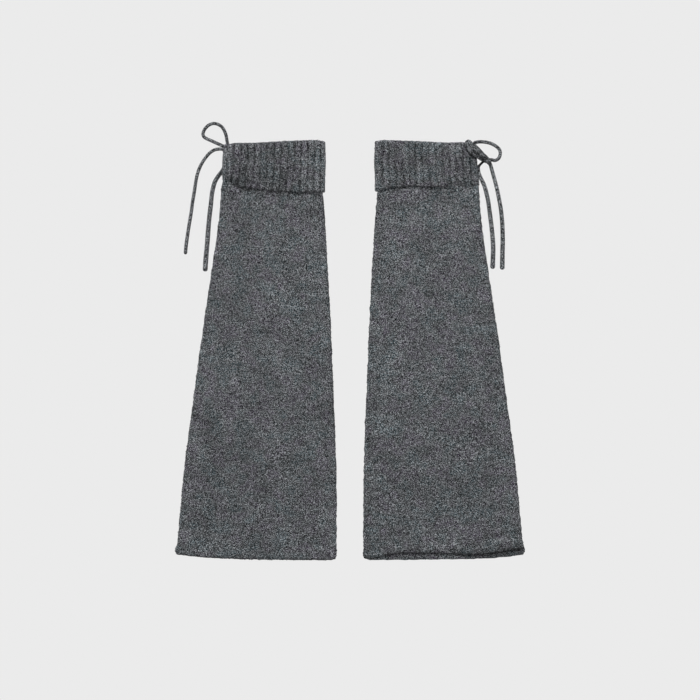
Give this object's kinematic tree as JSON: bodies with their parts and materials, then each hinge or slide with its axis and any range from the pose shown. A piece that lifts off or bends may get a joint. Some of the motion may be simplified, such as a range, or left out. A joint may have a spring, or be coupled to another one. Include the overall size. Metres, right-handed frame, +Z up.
{
  "type": "pair of leg warmers",
  "caption": "Flared knitted leg warmers laid flat side by side, with ribbed turned-down cuffs and thin drawstring bows at the outer corners.",
  "frame": {"origin": "on the surface that the pair lies on, under the middle of the cloth's box, halfway between the two leg warmers", "axes": "+X to the right-hand leg warmer as seen from above, +Y from the hems to the cuffs, +Z up from the surface"},
  "size_m": [0.3484, 0.4386, 0.0172],
  "materials": {
    "brushed_knit": "brushed grey wool-blend knit, matt",
    "ribbed_knit": "ribbed grey wool-blend knit, matt",
    "knitted_cord": "thin round grey knitted cord, matt"
  },
  "bodies": {
    "root": {"left_leg_front": "brushed_knit", "left_leg_back": "brushed_knit", "right_leg_front": "brushed_knit", "right_leg_back": "brushed_knit", "left_cuff_front": "ribbed_knit", "left_cuff_back": "ribbed_knit", "right_cuff_front": "ribbed_knit", "right_cuff_back": "ribbed_knit", "left_bow_knot": "knitted_cord", "left_bow_loop": "knitted_cord", "left_bow_tail_outer": "knitted_cord", "left_bow_tail_inner": "knitted_cord", "right_bow_knot": "knitted_cord", "right_bow_loop": "knitted_cord", "right_bow_loop_folded": "knitted_cord", "right_bow_tail_outer": "knitted_cord", "right_bow_tail_inner": "knitted_cord"}
  },
  "joints": []
}
